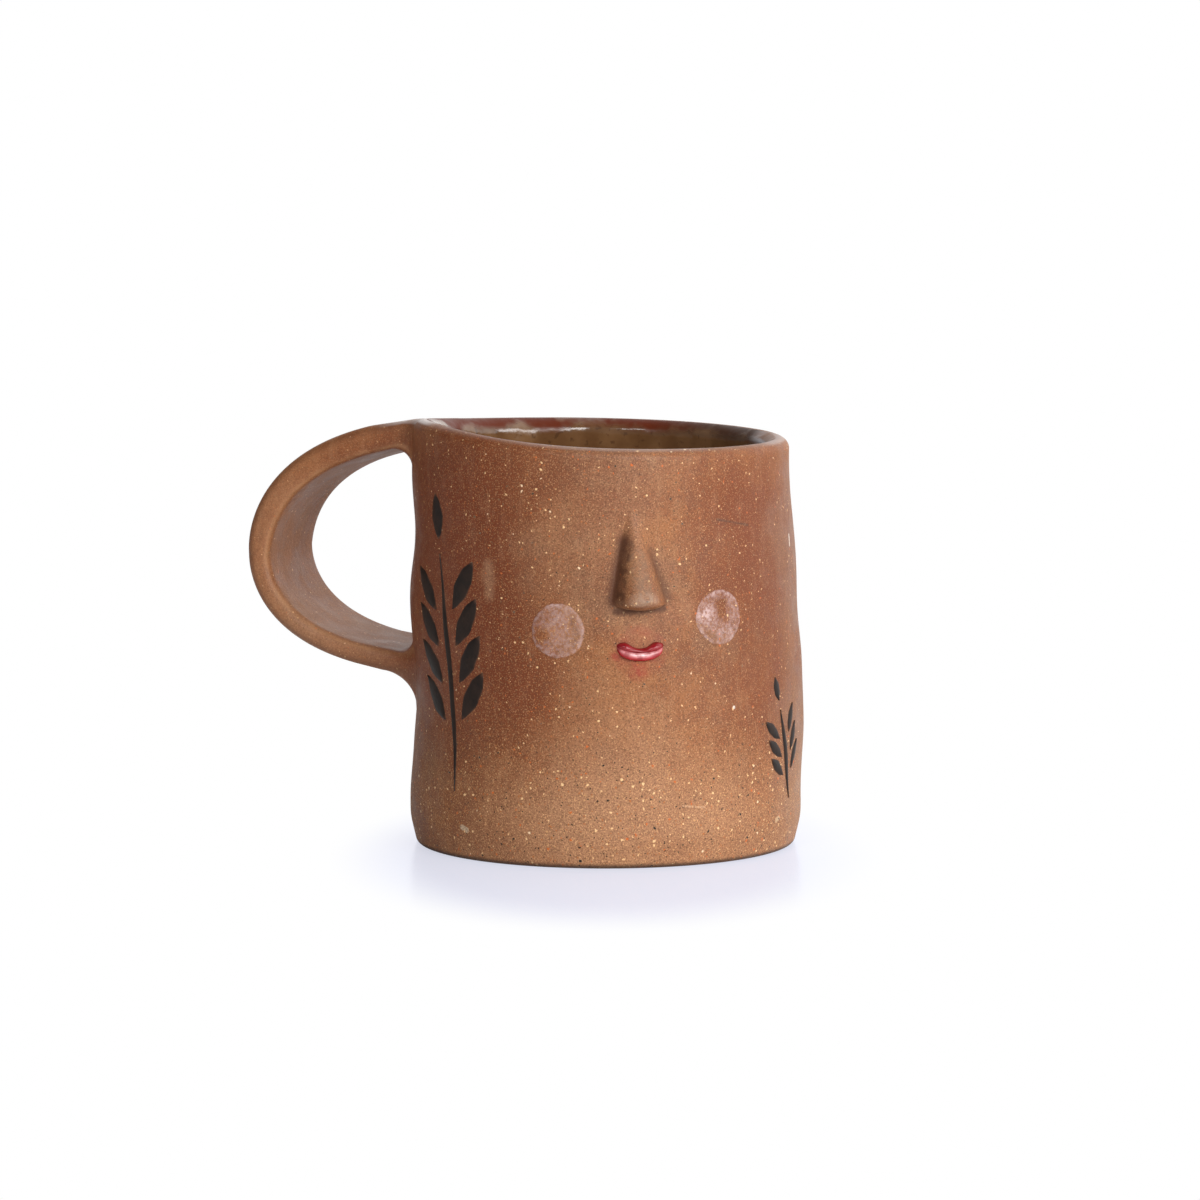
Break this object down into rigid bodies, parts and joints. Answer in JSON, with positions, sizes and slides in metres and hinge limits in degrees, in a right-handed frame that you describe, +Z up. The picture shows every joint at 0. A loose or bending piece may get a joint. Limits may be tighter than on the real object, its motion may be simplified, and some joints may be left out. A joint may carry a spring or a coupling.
{
  "type": "mug",
  "caption": "Hand-built speckled brown stoneware mug with a broad strap handle, a glossy glazed inside, and a small relief face with nose, red lips and pale cheek dots.",
  "frame": {"origin": "centre of the flat foot, on the surface that the mug stands on", "axes": "+Z up along the mug's axis, -X toward the handle, -Y roughly toward the viewer of the picture"},
  "size_m": [0.1206, 0.0842, 0.0911],
  "materials": {
    "clay": "matte speckled brown stoneware, unglazed",
    "brown_glaze": "glossy olive-brown glaze",
    "red_glaze": "glossy red glaze",
    "pink_slip": "thin matte pink-white slip",
    "dark_slip": "satin brown-black slip"
  },
  "bodies": {
    "root": {"wall_slab": "clay", "floor_slab": "clay", "seam_coil": "clay", "handle_strap": "clay", "nose": "clay", "upper_lip": "red_glaze", "lower_lip": "red_glaze", "liner_glaze": "brown_glaze", "left_cheek": "pink_slip", "right_cheek": "pink_slip", "left_sprig": "dark_slip", "right_sprig": "dark_slip"}
  },
  "joints": []
}
